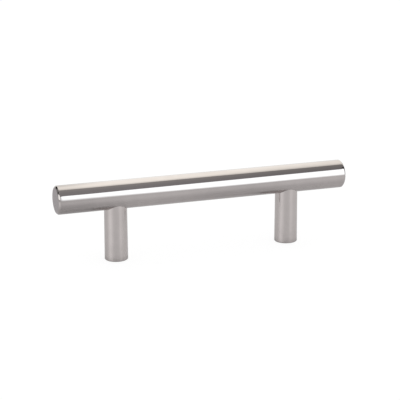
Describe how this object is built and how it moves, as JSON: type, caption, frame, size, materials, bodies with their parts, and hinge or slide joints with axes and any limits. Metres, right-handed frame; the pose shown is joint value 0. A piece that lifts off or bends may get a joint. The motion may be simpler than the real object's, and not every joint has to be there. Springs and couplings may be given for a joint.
{
  "type": "t bar cabinet pull",
  "caption": "T-bar cabinet pull: a solid round bar, chamfered at its ends, on round posts with coped tops and tapped feet.",
  "frame": {"origin": "midway between the two posts, in the plane of their feet, which is the face of the door or drawer", "axes": "+X along the bar, +Z out from the door towards the hand, +Y across the bar"},
  "size_m": [0.127, 0.012, 0.0337],
  "materials": {
    "polished_nickel": "polished",
    "plated_steel": "satin"
  },
  "bodies": {
    "root": {"bar": "polished_nickel", "left_post": "polished_nickel", "right_post": "polished_nickel", "left_stud": "plated_steel", "right_stud": "plated_steel"}
  },
  "joints": []
}
